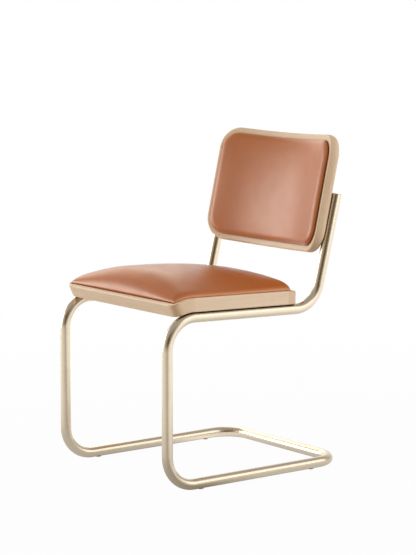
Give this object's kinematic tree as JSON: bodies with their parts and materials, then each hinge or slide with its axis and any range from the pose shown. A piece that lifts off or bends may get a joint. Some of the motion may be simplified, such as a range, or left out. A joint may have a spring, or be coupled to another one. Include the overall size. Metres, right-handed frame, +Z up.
{
  "type": "cantilever chair",
  "caption": "Cantilever dining chair: a bent metal tube carries a wooden seat frame and a curved wooden back frame, both holding inset padded leather cushions.",
  "frame": {"origin": "on the floor under the middle of the chair's bounding box", "axes": "+Z up, the chair faces -Y, +X towards the sitter's left"},
  "size_m": [0.466, 0.5816, 0.8165],
  "materials": {
    "champagne_tube": "brushed, pale champagne plating",
    "plug_plastic": "matte, coloured to match the tube",
    "glide_nylon": "matte",
    "seat_wood": "satin oil",
    "back_wood": "satin oil",
    "dowel_wood": "raw",
    "plywood": "raw",
    "foam": "open-cell foam",
    "seat_leather": "semi-aniline, soft sheen",
    "back_leather": "semi-aniline, soft sheen",
    "rear_leather": "semi-aniline, soft sheen",
    "fastener_steel": "zinc plated",
    "insert_brass": "turned"
  },
  "bodies": {
    "root": {"tube_frame": "champagne_tube", "left_end_plug": "plug_plastic", "right_end_plug": "plug_plastic", "seat_access_plugs": "plug_plastic", "back_access_plugs": "plug_plastic", "front_left_glide": "glide_nylon", "front_right_glide": "glide_nylon", "rear_left_glide": "glide_nylon", "rear_right_glide": "glide_nylon", "seat_front_rail": "seat_wood", "seat_rear_rail": "seat_wood", "seat_left_rail": "seat_wood", "seat_right_rail": "seat_wood", "back_top_rail": "back_wood", "back_bottom_rail": "back_wood", "back_left_stile": "back_wood", "back_right_stile": "back_wood", "seat_frame_dowels": "dowel_wood", "back_frame_dowels": "dowel_wood", "seat_panel": "plywood", "back_panel": "plywood", "seat_cushion_foam": "foam", "back_pad_foam": "foam", "seat_leather_cover": "seat_leather", "back_front_leather": "back_leather", "back_rear_leather": "rear_leather", "seat_panel_screws": "fastener_steel", "seat_bolts": "fastener_steel", "back_bolts": "fastener_steel", "seat_saddle_washers": "fastener_steel", "back_saddle_washers": "fastener_steel", "seat_threaded_inserts": "insert_brass", "back_threaded_inserts": "insert_brass"}
  },
  "joints": []
}
